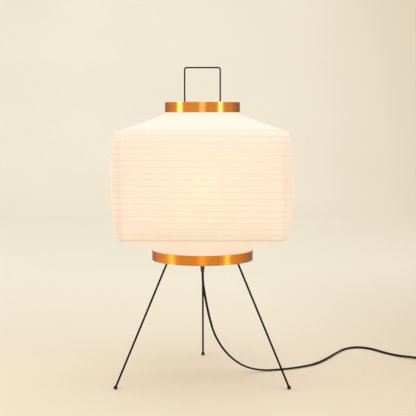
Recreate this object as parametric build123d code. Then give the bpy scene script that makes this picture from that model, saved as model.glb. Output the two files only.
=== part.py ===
from build123d import *
from math import asin, atan, cos, degrees, pi, radians, sin, sqrt, tan
import os

# A paper lantern floor lamp, in millimetres, +Z up.
# The origin is on the floor, on the lamp's upright axis. The front faces -Y.

# Fits
fit_gap = 0.1  # round a piece that stays where it is put
slide_gap = 0.3  # between pieces that move past each other, and between paper and frame

# Legs and feet
leg_azimuths = {"left": 210.0, "right": 330.0, "back": 90.0}
leg_d = 4.6
leg_top_r = 89.4  # from the axis to the leg's upper end
leg_end_gap = 2.0  # from the leg's upper end to the stand plate
foot_circle_r = 227.0
foot_d = 9.0
foot_flat_d = 3.5  # flat ground on the ball where it meets the floor

# Stand plate and leg sockets
plate_t = 3.0
plate_hub_r = 32.0
arm_w = 14.0
arm_end_gap = 2.2  # between an arm's end and the bottom band
socket_d = 14.0
socket_h = 11.0
socket_screw_d = 3.0

# Bands and the wooden hoops inside them
band_t = 0.8
band_lip = 1.4
bottom_band_r = 118.0
bottom_band_h = 22.8
bottom_band_z = 282.2  # from the floor to the band's lower edge
top_band_r = 87.0
top_band_h = 23.0
seat_rise = 11.8  # from the bottom band's lower edge to the seat on the arms
bottom_hoop_t = 5.5
bottom_hoop_h = 10.0
top_hoop_t = 4.0
top_hoop_h = 18.0

# Paper shade
paper_t = 0.7
panel_gap = 0.2  # between neighbouring panels at a corner
shade_half = 181.0  # from the axis to the straight edges at the wall's top and bottom
edge_bow = 1.5  # how far those edges bow out in the middle
edge_cut = 6.0  # length of an edge given up to each rounded corner
edge_roll = 9.0  # how far the wall steps out close to its edges
edge_roll_power = 12  # how closely that step hugs them
corner_swell = 7.5  # how much farther the wall is out at half height
side_bow = 11.0  # how much more its sides bow there
cut_growth = 18.0  # how much more of a side its rounded corners take there
wall_h = 239.0
shoulder_h = 38.9
under_h = 41.0
shoulder_even_share = 0.9  # share of the shoulder's fall that is an even slope
under_even_share = 0.85
neck_power = 8  # how tightly the rest of the fall hugs the band
neck_angle = 35.0  # how far round the band, in degrees from the middle of a side, the corner's arc begins
paper_tuck = 9.0  # how far the paper goes up or down inside a band
band_edge_gap = 0.8  # from a band's edge to where the paper turns in
wall_sections = 11
slope_sections = 9  # crowded towards the band and towards the wall's edge

# Rib and edge hoops
rib_d = 2.0
rib_turns = 17
rib_pitch = 13.4
rib_top_drop = 4.4  # from the wall's top edge to the rib's upper end
edge_hoop_d = 2.2
corner_share = 0.04  # share of a side's climb that each rounded corner end takes

# Stretcher wire with its handle
wire_d = 3.4
wire_half_span = 41.2
wire_bend_r = 5.0
handle_rise = 81.5  # from the top band to the top of the handle
wire_foot_rise = 6.0  # from the seat to the wire's outward feet

# Yoke in the top band
yoke_w = 12.0
yoke_t = 1.6
yoke_drop = 11.0  # from the top band's upper edge to the yoke
yoke_tab_h = 7.0
rivet_d = 3.0
rivet_head_d = 6.0
rivet_head_t = 1.4
bush_flange_d = 9.0
bush_flange_t = 2.0
bush_neck_d = 5.8
bush_skirt_h = 5.0

# Stem and cord gland
tube_d = 10.0
tube_bore_d = 7.2
tube_below_plate = 11.0
tube_into_holder = 9.0
nut_across_flats = 14.0
nut_t = 4.5
sleeve_d = 14.0
sleeve_h = 50.0
gland_d = 17.0
gland_h = 14.0
gland_round = 3.0
gland_grip = 6.0  # length of the gland on the tube
gland_tail_h = 20.0  # tapered strain relief below the gland
gland_tail_d = 8.4  # at the tail's lower end

# Lampholder
holder_d = 39.0
holder_wall = 3.3
holder_base_h = 18.0
holder_base_round = 8.0
holder_base_cavity_d = 26.0
holder_floor_t = 10.0
holder_body_h = 39.0
block_h = 6.0
shell_t = 0.5
shell_d = 28.8
shell_h = 24.0
contact_d = 7.0
contact_t = 1.5

# Bulb
bulb_tip_d = 9.6
bulb_tip_h = 1.5
bulb_insulator_h = 4.0
bulb_insulator_top_d = 22.0
bulb_cap_d = 26.4
bulb_cap_h = 23.0
bulb_glass_t = 0.8
bulb_neck_d = 25.6
bulb_neck_h = 6.0
bulb_globe_d = 60.0
bulb_flare_h = 43.7  # from the top of the straight neck to the globe's middle
stem_d = 8.0
stem_h = 30.0
stem_disc_d = 17.0
stem_disc_t = 1.0
filament_count = 4
filament_d = 1.8
filament_h = 34.0
filament_circle_d = 13.0

# Cord, by hand from the gland across the floor to the inline switch
cord_d = 6.0
cord_arc_share = 0.45  # share of the shorter run that each arc takes up
cord_route = [
    (4.0, 1.2, 204.0),
    (14.0, 5.0, 150.0),
    (28.0, 9.5, 98.0),
    (57.0, 19.0, 51.0),
    (97.0, 33.0, 17.0),
    (143.0, 49.0, 3.0),
    (190.0, 61.0, 3.0),
    (237.0, 83.0, 3.0),
    (281.0, 117.0, 3.0),
    (314.0, 171.0, 3.0),
    (344.0, 234.0, 3.0),
    (375.0, 289.0, 3.0),
    (411.0, 309.0, 3.0),
    (445.0, 288.0, 3.0),
    (469.0, 245.0, 3.0),
    (500.0, 206.0, 3.0),
]

# Inline switch, lying on the cord
switch_x = 585.0
switch_y = 138.0
switch_turn = -36.87  # heading of the cord through it, in degrees
switch_l = 56.0
switch_w = 22.0
switch_h = 14.0
switch_split_z = 6.0  # also the height of the cord through it
switch_round = 3.0
switch_lead = 32.0  # straight cord before the switch
pocket_l = 34.0
pocket_w = 13.0
pocket_depth = 4.0
rocker_l = 16.0
rocker_w = 9.0
rocker_end_h = 3.2
rocker_mid_h = 2.2
rocker_keel = 3.0
rocker_keel_l = 6.0
rocker_side_depth = 1.0
rocker_tilt = 7.0  # lean at rest, in degrees
rocker_room = 0.7  # between the rocker's ends and its slot
pivot_drop = 3.0  # from the switch's top to the rocker's pivot
pin_d = 2.0
pin_seat = 2.4  # length of the pin in each cheek
pin_run_gap = 0.06
case_screw_d = 2.5
case_screw_head_d = 5.0
case_screw_head_h = 1.5
case_screw_l = 9.0
case_screw_inset = 7.0

# Coil of the cord past the switch
coil_outer_r = 38.0
coil_step = 7.4  # from turn to turn, and from layer to layer
coil_turns = 2  # in each of its two layers
coil_straight = 8.0  # straight ends where it meets the switch and the plug
coil_lead_in = 40.0
coil_lead_out = 34.0
tie_w = 8.0  # of the strap that holds the coil together
tie_t = 0.6
tie_round = 3.0

# Plug
plug_l = 38.0
plug_w = 26.0
plug_h = 18.0
plug_nose_w = 12.0
plug_nose_l = 14.0
plug_round = 3.0
blade_w = 6.3
blade_t = 1.5
blade_l = 17.0
blade_spacing = 12.7
blade_root = 8.0

# Heights worked out from the sizes above
plate_top_z = bottom_band_z + seat_rise
plate_z = plate_top_z - plate_t
leg_top_z = plate_z - leg_end_gap
foot_z = sqrt((foot_d / 2) ** 2 - (foot_flat_d / 2) ** 2)
bottom_band_top_z = bottom_band_z + bottom_band_h
under_z = bottom_band_top_z + band_edge_gap
wall_z = under_z + under_h
wall_top_z = wall_z + wall_h
shoulder_top_z = wall_top_z + shoulder_h
top_band_z = shoulder_top_z + band_edge_gap
top_band_top_z = top_band_z + top_band_h
yoke_top_z = top_band_top_z - yoke_drop
yoke_z = yoke_top_z - yoke_t
wire_foot_z = plate_top_z + wire_foot_rise
handle_top_z = top_band_top_z + handle_rise
tube_z = plate_z - tube_below_plate
gland_z = tube_z + gland_grip - gland_h
gland_tail_z = gland_z - gland_tail_h
holder_z = plate_top_z + sleeve_h
holder_body_z = holder_z + holder_base_h
block_top_z = holder_body_z + block_h
contact_top_z = block_top_z + contact_t
bulb_z = contact_top_z + slide_gap
bulb_cap_z = bulb_z + bulb_tip_h + bulb_insulator_h
bulb_cap_top_z = bulb_cap_z + bulb_cap_h

# Radii worked out from the sizes above
leg_r = leg_d / 2
wire_r = wire_d / 2
bottom_neck_r = bottom_band_r - band_t - slide_gap
top_neck_r = top_band_r - band_t - slide_gap
bottom_hoop_r = bottom_neck_r - paper_t - slide_gap
top_hoop_r = top_neck_r - paper_t - slide_gap
top_hoop_in_r = top_hoop_r - top_hoop_t
yoke_half = sqrt(top_hoop_in_r**2 - (yoke_w / 2) ** 2) - fit_gap
arm_reach = bottom_band_r - band_t - arm_end_gap
leg_slope = (foot_circle_r - leg_top_r) / (leg_top_z - foot_z)
leg_lean = degrees(atan(leg_slope))

quarter_turn = 90.0
sides = {name: quarter_turn * count for count, name in enumerate(("front", "right", "back", "left"))}
up = Vector(0, 0, 1)
standing = (Align.CENTER, Align.CENTER, Align.MIN)
hanging = (Align.CENTER, Align.CENTER, Align.MAX)


def save(name, *solids):
    """Write one named piece, or a group of like pieces, to its own file."""
    shape = solids[0] if len(solids) == 1 else Compound(children=list(solids))
    export_step(shape, f"parts/{name}.step")


def polar(radius, azimuth, z=0.0):
    """The point at a distance from the axis, in a compass direction."""
    return Vector(radius * cos(radians(azimuth)), radius * sin(radians(azimuth)), z)


def pillar(radius, z, height):
    """An upright cylinder on the axis."""
    return Pos(0, 0, z) * Cylinder(radius, height, align=standing)


def pipe(radius, bore, z, height):
    """An upright pipe on the axis."""
    return pillar(radius, z, height) - pillar(bore, z, height)


def rod(start, end, radius):
    """A round rod between two points."""
    run = end - start
    return Plane(origin=start, z_dir=run) * Cylinder(radius, run.length, align=standing)


def leg_line(azimuth):
    """The two ends of a leg's centre line."""
    return polar(foot_circle_r, azimuth, foot_z), polar(leg_top_r, azimuth, leg_top_z)


def leg_radius(z):
    """How far a leg's centre line is from the axis at a height."""
    return leg_top_r + (leg_top_z - z) * leg_slope


def make_foot(azimuth):
    """A ball with a blind hole for its leg and a small flat under it."""
    low, high = leg_line(azimuth)
    ball = Pos(low) * Sphere(foot_d / 2)
    floor_cut = Pos(low.X, low.Y, 0) * Box(foot_d, foot_d, foot_d, align=hanging)
    return ball - rod(low, high, leg_r + fit_gap) - floor_cut


def make_socket(azimuth):
    """A boss under an arm, with a slanted hole for the leg and a cross hole for its screw."""
    low, high = leg_line(azimuth)
    middle = polar(leg_radius(plate_z - socket_h / 2), azimuth, plate_z)
    boss = Pos(middle) * Cylinder(socket_d / 2, socket_h, align=hanging)
    beyond = high + (high - low).normalized() * fit_gap
    return boss - rod(low, beyond, leg_r + fit_gap) - make_socket_screw(azimuth, fit_gap)


def make_socket_screw(azimuth, room=0.0):
    """The headless screw that holds a leg, or, with some room round it, its hole."""
    z = plate_z - socket_h / 2
    near_side = leg_r / cos(radians(leg_lean)) + socket_screw_d / 2 * leg_slope
    tip = leg_radius(z) - near_side - fit_gap
    tail = leg_radius(z) - socket_d / 2
    return rod(polar(tail - room, azimuth, z), polar(tip + room, azimuth, z), socket_screw_d / 2 + room)


def make_stand_plate():
    """A flat hub with three arms under the lantern's lower hoop."""
    outline = Circle(plate_hub_r)
    for azimuth in leg_azimuths.values():
        outline += Rot(0, 0, azimuth) * Rectangle(arm_reach, arm_w, align=(Align.MIN, Align.CENTER))
    outline = outline & Circle(arm_reach)
    outline -= Circle(tube_d / 2 + fit_gap)
    return Pos(0, 0, plate_z) * extrude(outline, plate_t)


def make_nut():
    """The six-sided nut that clamps the threaded tube to the plate."""
    outline = RegularPolygon(nut_across_flats / 2, 6, major_radius=False)
    outline -= Circle(tube_d / 2 + fit_gap)
    return Pos(0, 0, plate_z - nut_t) * extrude(outline, nut_t)


def make_gland():
    """The cord gland on the lower end of the tube, with a tapered tail round the cord."""
    body = pillar(gland_d / 2, gland_z, gland_h)
    body = fillet(body.edges().filter_by(GeomType.CIRCLE).group_by(Axis.Z)[0], gland_round)
    tail = Cone(gland_tail_d / 2, gland_d / 2 - gland_round, gland_tail_h, align=standing)
    body += Pos(0, 0, gland_tail_z) * tail
    body -= pillar(tube_d / 2 + fit_gap, tube_z, gland_h)
    return body - pillar(cord_d / 2 + fit_gap, gland_tail_z, gland_tail_h + gland_h)


def make_holder_base():
    """The rounded lower cap of the lampholder, on the end of the tube."""
    cap = pillar(holder_d / 2, holder_z, holder_base_h)
    cap = fillet(cap.edges().filter_by(GeomType.CIRCLE).group_by(Axis.Z)[0], holder_base_round)
    cap -= pillar(holder_base_cavity_d / 2, holder_z + holder_floor_t, holder_base_h)
    return cap - pillar(tube_d / 2 + fit_gap, holder_z, holder_floor_t)


def make_bulb_glass():
    """A hollow globe that narrows through a smooth flare to a straight neck."""
    globe_r = bulb_globe_d / 2
    neck_r = bulb_neck_d / 2
    neck_z = bulb_cap_top_z + bulb_neck_h
    globe_z = neck_z + bulb_flare_h
    flare_r = (bulb_flare_h**2 - globe_r**2 + neck_r**2) / (2 * (globe_r - neck_r))
    reach = globe_r + flare_r
    aim_x = (neck_r + flare_r) / reach
    aim_z = -bulb_flare_h / reach

    def outline(inset):
        ball_r = globe_r - inset
        bend_r = flare_r + inset
        foot = Vector(neck_r - inset, 0, bulb_cap_top_z)
        neck = Vector(neck_r - inset, 0, neck_z)
        meet = Vector(ball_r * aim_x, 0, globe_z + ball_r * aim_z)
        widest = Vector(ball_r, 0, globe_z)
        top = Vector(0, 0, globe_z + ball_r)
        heading = Vector(-bend_r - aim_x * bend_r, 0, -aim_z * bend_r).normalized()
        belly = Vector(neck_r + flare_r, 0, neck_z) + heading * bend_r
        return [Line(foot, neck), ThreePointArc(neck, belly, meet), ThreePointArc(meet, widest, top)]

    outer = outline(0.0)
    inner = outline(bulb_glass_t)
    foot = Line(outer[0] @ 0, inner[0] @ 0)
    crown = Line(outer[-1] @ 1, inner[-1] @ 1)
    return revolve(make_face(outer + inner + [foot, crown]), Axis.Z)


def make_stem():
    """The glass stem inside the bulb, with the disc that carries the filaments."""
    return pillar(stem_d / 2, bulb_cap_top_z, stem_h) + pillar(
        stem_disc_d / 2, bulb_cap_top_z + stem_h, stem_disc_t
    )


def make_filaments():
    """Upright filaments in a ring on the stem's disc."""
    spots = PolarLocations(filament_circle_d / 2, filament_count)
    base = Pos(0, 0, bulb_cap_top_z + stem_h + stem_disc_t)
    return [base * spot * Cylinder(filament_d / 2, filament_h, align=standing) for spot in spots]


def make_band(radius, z, height, lip_on_top):
    """A sheet-metal band with one edge turned in."""
    lip_z = z + height - band_t if lip_on_top else z
    return pipe(radius, radius - band_t, z, height) + pipe(radius, radius - band_t - band_lip, lip_z, band_t)


def make_bottom_hoop():
    """The wooden hoop that sits on the arms, drilled for the stretcher's feet."""
    hoop = pipe(bottom_hoop_r, bottom_hoop_r - bottom_hoop_t, plate_top_z, bottom_hoop_h)
    across = Vector(bottom_band_r, 0, wire_foot_z)
    opposite = Vector(-bottom_band_r, 0, wire_foot_z)
    return hoop - rod(opposite, across, wire_r + fit_gap)


def make_top_hoop():
    """The wooden hoop under the top band's lip, drilled for the yoke's rivets."""
    hoop_z = top_band_top_z - band_t - top_hoop_h
    hoop = pipe(top_hoop_r, top_hoop_in_r, hoop_z, top_hoop_h)
    for rivet in make_rivets(fit_gap):
        hoop -= rivet
    return hoop


def make_yoke():
    """The strap across the top band, with its ends turned down and two holes for the bushes."""
    strap = Pos(0, 0, yoke_z) * Box(2 * yoke_half, yoke_w, yoke_t, align=standing)
    for side in (-1, 1):
        tab_x = side * (yoke_half - yoke_t / 2)
        strap += Pos(tab_x, 0, yoke_z) * Box(yoke_t, yoke_w, yoke_tab_h, align=hanging)
        hole = Pos(side * wire_half_span, 0, yoke_z)
        strap -= hole * Cylinder(bush_neck_d / 2 + fit_gap, yoke_t, align=standing)
    for rivet in make_rivets(fit_gap):
        strap -= rivet
    return strap


def make_rivets(room=0.0):
    """Two rivets through the yoke's tabs and the hoop, or their holes with some room round them."""
    tab_in_r = yoke_half - yoke_t
    z = yoke_z - yoke_tab_h / 2
    rivets = []
    for azimuth in (0.0, 180.0):
        shank = rod(polar(tab_in_r, azimuth, z), polar(top_hoop_r, azimuth, z), rivet_d / 2 + room)
        if not room:
            head = rod(polar(tab_in_r - rivet_head_t, azimuth, z), polar(tab_in_r, azimuth, z), rivet_head_d / 2)
            shank += head
        rivets.append(shank)
    return rivets


def make_bushes():
    """Two flanged bushes in the yoke that run on the stretcher wire."""
    neck_r = bush_neck_d / 2
    bushes = []
    for side in (-1, 1):
        bush = pillar(neck_r, yoke_z, yoke_t)
        bush += pillar(bush_flange_d / 2, yoke_top_z, bush_flange_t)
        bush += pillar(bush_flange_d / 2, yoke_z - bush_skirt_h, bush_skirt_h)
        bush -= pillar(wire_r + slide_gap, yoke_z - bush_skirt_h, bush_skirt_h + yoke_t + bush_flange_t)
        bushes.append(Pos(side * wire_half_span, 0, 0) * bush)
    return bushes


def make_stretcher():
    """One bent wire: outward feet in the lower hoop, two uprights and the handle between them."""
    foot_x = bottom_hoop_r - fit_gap
    top_z = handle_top_z - wire_r
    path = FilletPolyline(
        (-foot_x, 0, wire_foot_z),
        (-wire_half_span, 0, wire_foot_z),
        (-wire_half_span, 0, top_z),
        (wire_half_span, 0, top_z),
        (wire_half_span, 0, wire_foot_z),
        (foot_x, 0, wire_foot_z),
        radius=wire_bend_r,
    )
    return tube_along(path, wire_r)


def tube_along(path, radius):
    """A round tube along a path."""
    return sweep(Plane(origin=path @ 0, z_dir=path % 0) * Circle(radius), path=path)


def bow_of(outline):
    """Radius of a side's bow, and the angle from its middle to where the corner's arc begins."""
    middle, reach, depth = outline
    bow = middle - depth
    radius = (reach**2 + bow**2) / (2 * bow)
    return radius, asin(reach / radius)


def wall_outline(z, inset=0.0):
    """The wall's outline at a height, or one inside its face.

    It is the half width at the middle of a side, then the place along the side and the half width
    where the side's bow passes into the corner's arc.
    """
    level = abs(2 * (z - wall_z) / wall_h - 1)
    swell = 1 - level**2
    roll = 1 - level**edge_roll_power
    depth = shade_half + edge_roll * roll + corner_swell * swell
    middle = depth + edge_bow + side_bow * swell
    reach = depth - edge_cut - cut_growth * (roll + swell) / 2
    roll_lean = edge_roll * edge_roll_power * level ** (edge_roll_power - 1)
    lean = 2 / wall_h * (roll_lean + 2 * (corner_swell + side_bow) * level)
    level_inset = inset * sqrt(1 + lean**2)
    angle = bow_of((middle, reach, depth))[1]
    return middle - level_inset, reach - level_inset * sin(angle), depth - level_inset * cos(angle)


def slope_outline(band_r, share):
    """Outline of a slope, from its round band (share 0) to the wall's edge (share 1)."""
    edge_middle, edge_reach, edge_depth = wall_outline(wall_z)
    middle = band_r + share * (edge_middle - band_r)
    squareness = max(share, 0)
    round_reach = sin(radians(neck_angle))
    round_depth = cos(radians(neck_angle))
    reach = middle * (round_reach + squareness * (edge_reach / edge_middle - round_reach))
    depth = middle * (round_depth + squareness * (edge_depth / edge_middle - round_depth))
    return middle, reach, depth


def slope_rise(height, even_share, share):
    """How far a slope is from the wall's edge in height."""
    left = 1 - share
    return height * (even_share * left + (1 - even_share) * left**neck_power)


def slope_width(height, even_share, share, span):
    """Level width of the paper where the slope is cut, for a constant thickness."""
    left = 1 - share
    steep = height / span * (even_share + (1 - even_share) * neck_power * left ** (neck_power - 1))
    return paper_t * sqrt(1 + steep**2) / steep


def side_points(outline, z):
    """Ends and middles of the three arcs along the front side, from corner line to corner line."""
    middle, reach, depth = outline
    angle = bow_of(outline)[1]
    corner_r = (depth - reach) / (cos(angle) - sin(angle))
    corner_x = reach - corner_r * sin(angle)
    end_angle = pi / 4 - panel_gap / 2 / corner_r
    right = []
    for turn in (angle, (angle + end_angle) / 2, end_angle):
        right.append(Vector(corner_x + corner_r * sin(turn), -corner_x - corner_r * cos(turn), z))
    left = [Vector(-point.X, point.Y, z) for point in reversed(right)]
    return left + [Vector(0, -middle, z)] + right


def paper_strip(outer, inner, z):
    """A level cut through the front panel: two bowed edges joined along the corner lines."""
    out_points = side_points(outer, z)
    in_points = side_points(inner, z)
    edges = [Line(out_points[0], in_points[0]), Line(out_points[-1], in_points[-1])]
    for points in (out_points, in_points):
        for first in (0, 2, 4):
            edges.append(ThreePointArc(*points[first : first + 3]))
    return make_face(edges)


def make_wall():
    """The front panel of the wall, bowed both ways."""
    sections = []
    for step in range(wall_sections):
        z = wall_z + wall_h * (1 - cos(pi * step / (wall_sections - 1))) / 2
        sections.append(paper_strip(wall_outline(z), wall_outline(z, paper_t), z))
    return loft(sections)


def make_slope(neck_r, edge_z, height, even_share, direction):
    """The front panel of a slope between the wall and a band, tucked into the band at its neck."""
    span = shade_half + edge_bow - neck_r
    sections = []
    for step in range(slope_sections + 1):
        share = (1 - cos(pi * step / slope_sections)) / 2
        width = slope_width(height, even_share, share, span) if step else paper_t
        z = edge_z + direction * slope_rise(height, even_share, share)
        inner_share = share - width / span
        sections.append(paper_strip(slope_outline(neck_r, share), slope_outline(neck_r, inner_share), z))
    neck = extrude(sections[0], paper_tuck, dir=(0, 0, direction))
    return loft(sections) + neck


def biarc(start, start_dir, end, end_dir):
    """Two arcs that leave one point and reach another along given directions."""
    chord = end - start
    both = start_dir + end_dir
    bend = 2 * (1 - start_dir.dot(end_dir))
    lean = 2 * chord.dot(both)
    square = chord.dot(chord)
    reach = 2 * square / (lean + sqrt(lean**2 + 4 * bend * square))
    knee = start + start_dir * reach
    last_knee = end - end_dir * reach
    joint = (knee + last_knee) * 0.5
    joint_dir = (last_knee - knee).normalized()
    return [Edge.make_tangent_arc(start, start_dir, joint), Edge.make_tangent_arc(joint, joint_dir, end)]


def biarcs(nodes):
    """Arcs through a list of (point, direction)."""
    edges = []
    for (start, start_dir), (end, end_dir) in zip(nodes, nodes[1:]):
        edges += biarc(start, start_dir, end, end_dir)
    return edges


def least_gap(edges, width, near):
    """Least clear distance of a tube to itself, leaving out stretches nearer along it than a length."""
    points = []
    travelled = 0.0
    samples = 4
    for edge in edges:
        for step in range(samples):
            points.append((travelled + edge.length * step / samples, edge @ (step / samples)))
        travelled += edge.length
    best = travelled
    for index, (here, point) in enumerate(points):
        for there, other in points[index + 1 :]:
            if there - here > near:
                best = min(best, (other - point).length)
    return best - width


def side_stop(outline_z, inset, end, turn, fall=0.0):
    """Point and direction at the start (-1), middle (0) or end (1) of a side's bow, inside the paper."""
    outline = wall_outline(outline_z, inset)
    bow_r, full_angle = bow_of(outline)
    angle = end * full_angle
    point = Vector(bow_r * sin(angle), bow_r - outline[0] - bow_r * cos(angle), outline_z)
    heading = Vector(cos(angle), sin(angle), -fall).normalized()
    return point.rotate(Axis.Z, turn), heading.rotate(Axis.Z, turn)


def make_edge_hoop(z):
    """A closed square hoop inside the wall's edge, with rounded corners."""
    inset = paper_t + slide_gap + edge_hoop_d / 2
    stops = []
    for turn in sides.values():
        stops.append(side_stop(z, inset, -1, turn))
        stops.append(side_stop(z, inset, 1, turn))
    path = Wire(biarcs(stops + stops[:1]))
    return tube_along(path, edge_hoop_d / 2)


def rib_stops():
    """Stops down the rib: it starts and ends at the middle of the back."""
    inset = paper_t + slide_gap + rib_d / 2
    quarter = rib_pitch / 4
    top = wall_top_z - rib_top_drop
    fall = rib_pitch / (8 * shade_half)
    quarters = 4 * rib_turns
    stops = [side_stop(top, inset, 0, sides["back"], fall)]
    for count in range(quarters):
        turn = sides["back"] + quarter_turn * count
        leave_z = top - quarter * (count + 0.5 - corner_share)
        enter_z = top - quarter * (count + 0.5 + corner_share)
        stops.append(side_stop(leave_z, inset, 1, turn, fall))
        stops.append(side_stop(enter_z, inset, -1, turn + quarter_turn, fall))
    stops.append(side_stop(top - quarter * quarters, inset, 0, sides["back"], fall))
    return stops


def make_rib():
    """The bamboo rib: one unbroken strip wound down the inside of the wall."""
    edges = biarcs(rib_stops())
    print("rib: least gap to itself", round(least_gap(edges, rib_d, shade_half), 2), "mm")
    return tube_along(Wire(edges), rib_d / 2)


def switch_point(along, across=0.0, z=0.0):
    """A point by its distance along and across the switch."""
    return Vector(switch_x, switch_y, 0) + Vector(along, across, z).rotate(Axis.Z, switch_turn)


def cord_points():
    """The cord's route, with its straight starts at the gland and at the switch."""
    exit_z = gland_z + gland_grip / 2
    fall_z = exit_z - (exit_z - gland_tail_z) / (1 - cord_arc_share)
    ahead = switch_point(-switch_l / 2 - switch_lead, 0, switch_split_z)
    entry = switch_point(-switch_l / 2, 0, switch_split_z)
    return [Vector(0, 0, exit_z), Vector(0, 0, fall_z), *(Vector(*p) for p in cord_route), ahead, entry]


def make_cord_run():
    """The cord from the gland to the switch: straight runs joined by the largest arcs that fit."""
    points = cord_points()
    radii = []
    for before, here, after in zip(points, points[1:], points[2:]):
        turn = (here - before).get_angle(after - here)
        shorter = min((here - before).length, (after - here).length)
        radii.append(cord_arc_share * shorter / tan(radians(turn / 2)))
    print("cord: radii", [round(r) for r in radii])
    path = FilletPolyline(*points, radius=radii)
    tube = tube_along(path, cord_d / 2)
    section = Circle(cord_d / 2).area
    print("cord: length", round(path.length), "mm, volume over section times length",
          round(tube.volume / (section * path.length), 4))
    return tube


def coil_centre():
    """The middle of the coil, at the height of its lower turns, which lie on the tie."""
    return switch_point(switch_l / 2 + coil_lead_in, coil_outer_r, tie_t + slide_gap + cord_d / 2)


def coil_stops():
    """Stops along the coil: in on the floor, up a layer at the middle, out on top, then to the plug."""
    heading = Vector(1, 0, 0).rotate(Axis.Z, switch_turn)
    inward = Vector(0, 1, 0).rotate(Axis.Z, switch_turn)
    start = switch_point(switch_l / 2, 0, switch_split_z)
    centre = coil_centre()
    stops = [(start, heading), (start + heading * coil_straight, heading)]
    layer = 4 * coil_turns
    climb = 2
    last_count = 2 * layer + climb
    for count in range(last_count + 1):
        inside = min(count, layer) - max(0, count - layer - climb)
        climbed = min(max(count - layer, 0), climb) / climb
        radius = coil_outer_r - coil_step * inside / 4
        widening = 0.0
        if 0 < count < layer:
            widening = -coil_step / (2 * pi)
        if layer + climb < count < last_count:
            widening = coil_step / (2 * pi)
        rising = coil_step / pi if 0 < climbed < 1 else 0.0
        turn = quarter_turn * count
        arm = (inward * -1).rotate(Axis.Z, turn)
        way = heading.rotate(Axis.Z, turn)
        direction = (way * radius + arm * widening + up * rising).normalized()
        stops.append((centre + arm * radius + up * (coil_step * climbed), direction))
    back = heading * -1
    last = stops[-1][0]
    end = Vector(last.X, last.Y, plug_h / 2) + back * coil_lead_out
    stops.append((end - back * coil_straight, back))
    stops.append((end, back))
    return stops


def make_coil():
    """The put-away length of the cord, as one unbroken tube from the switch to the plug."""
    stops = coil_stops()
    edges = [Edge.make_line(stops[0][0], stops[1][0])]
    edges += biarcs(stops[1:-1])
    edges.append(Edge.make_line(stops[-2][0], stops[-1][0]))
    length = sum(edge.length for edge in edges)
    print("coil: length", round(length), "mm, least gap to itself",
          round(least_gap(edges, cord_d, 5 * cord_d), 2), "mm")
    return tube_along(Wire(edges), cord_d / 2)


def make_tie():
    """The strap round the coil's bundle, a quarter turn on from where the cord joins it."""
    bore_r = coil_outer_r - coil_step * coil_turns - cord_d / 2
    in_r = sqrt(bore_r**2 - (tie_w / 2) ** 2) - slide_gap
    out_r = coil_outer_r - coil_step / 4 + cord_d / 2 + slide_gap
    bundle_h = coil_step + cord_d + 2 * slide_gap
    inside = RectangleRounded(out_r - in_r, bundle_h, tie_round)
    outside = RectangleRounded(out_r - in_r + 2 * tie_t, bundle_h + 2 * tie_t, tie_round + tie_t)
    strap = extrude(Plane.XZ * (outside - inside), tie_w / 2, both=True)
    middle = coil_centre()
    spot = Pos(middle.X, middle.Y, tie_t + bundle_h / 2) * Rot(0, 0, switch_turn)
    return spot * Pos((in_r + out_r) / 2, 0, 0) * strap


def on_switch(shape):
    """Place a shape, made about the switch's own middle, where the switch lies."""
    return Pos(switch_x, switch_y, 0) * Rot(0, 0, switch_turn) * shape


def switch_case():
    """The rounded outer block of the switch."""
    block = Box(switch_l, switch_w, switch_h, align=standing)
    return fillet(block.edges().filter_by(Axis.Z), switch_round)


def make_switch_bottom():
    """The lower half of the switch, hollowed for its contacts and drilled for its screws."""
    lower = switch_case() & Box(switch_l, switch_w, switch_split_z, align=standing)
    pocket_z = switch_split_z - pocket_depth
    lower -= Pos(0, 0, pocket_z) * Box(pocket_l, pocket_w, pocket_depth, align=standing)
    for screw in case_screws(fit_gap):
        lower -= screw
    return on_switch(lower)


def make_switch_top():
    """The upper half of the switch, slotted for the rocker and drilled for its pin."""
    upper = switch_case() - Box(switch_l, switch_w, switch_split_z, align=standing)
    slot_l = rocker_l + 2 * rocker_room
    slot_w = rocker_w + 2 * slide_gap
    upper -= Pos(0, 0, switch_split_z) * Box(slot_l, slot_w, switch_h, align=standing)
    upper -= rocker_pin(fit_gap)
    for screw in case_screws(fit_gap):
        upper -= screw
    return on_switch(upper)


def case_screws(room=0.0):
    """Two screws from below, or their holes with some room round them."""
    screws = []
    for side in (-1, 1):
        x = side * (switch_l / 2 - case_screw_inset)
        shank = Cylinder(case_screw_d / 2 + room, case_screw_l + room, align=standing)
        head = Cylinder(case_screw_head_d / 2 + room, case_screw_head_h, align=standing)
        screws.append(Pos(x, 0, 0) * (shank + head))
    return screws


def rocker_pin(room=0.0):
    """The rocker's pivot pin, or its hole with some room round it."""
    length = rocker_w + 2 * slide_gap + 2 * pin_seat
    pin = Rot(90, 0, 0) * Cylinder(pin_d / 2 + room, length + 2 * room)
    return Pos(0, 0, switch_h - pivot_drop) * pin


def make_rocker():
    """The rocker: a shallow V on top, a keel below and a hole for its pin."""
    half = rocker_l / 2
    keel = rocker_keel_l / 2
    points = [
        (-half, rocker_end_h),
        (0, rocker_mid_h),
        (half, rocker_end_h),
        (half, -rocker_side_depth),
        (keel, -rocker_keel),
        (-keel, -rocker_keel),
        (-half, -rocker_side_depth),
    ]
    outline = make_face(Polyline(*points, close=True)) - Circle(pin_d / 2 + pin_run_gap)
    body = extrude(Plane.XZ * outline, rocker_w / 2, both=True)
    return on_switch(Pos(0, 0, switch_h - pivot_drop) * Rot(0, rocker_tilt, 0) * body)


def plug_place():
    """Where the plug's tail meets the coil, turned to the cord's heading."""
    tail = coil_stops()[-1][0]
    return Pos(tail.X, tail.Y, 0) * Rot(0, 0, switch_turn + 180.0)


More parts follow.
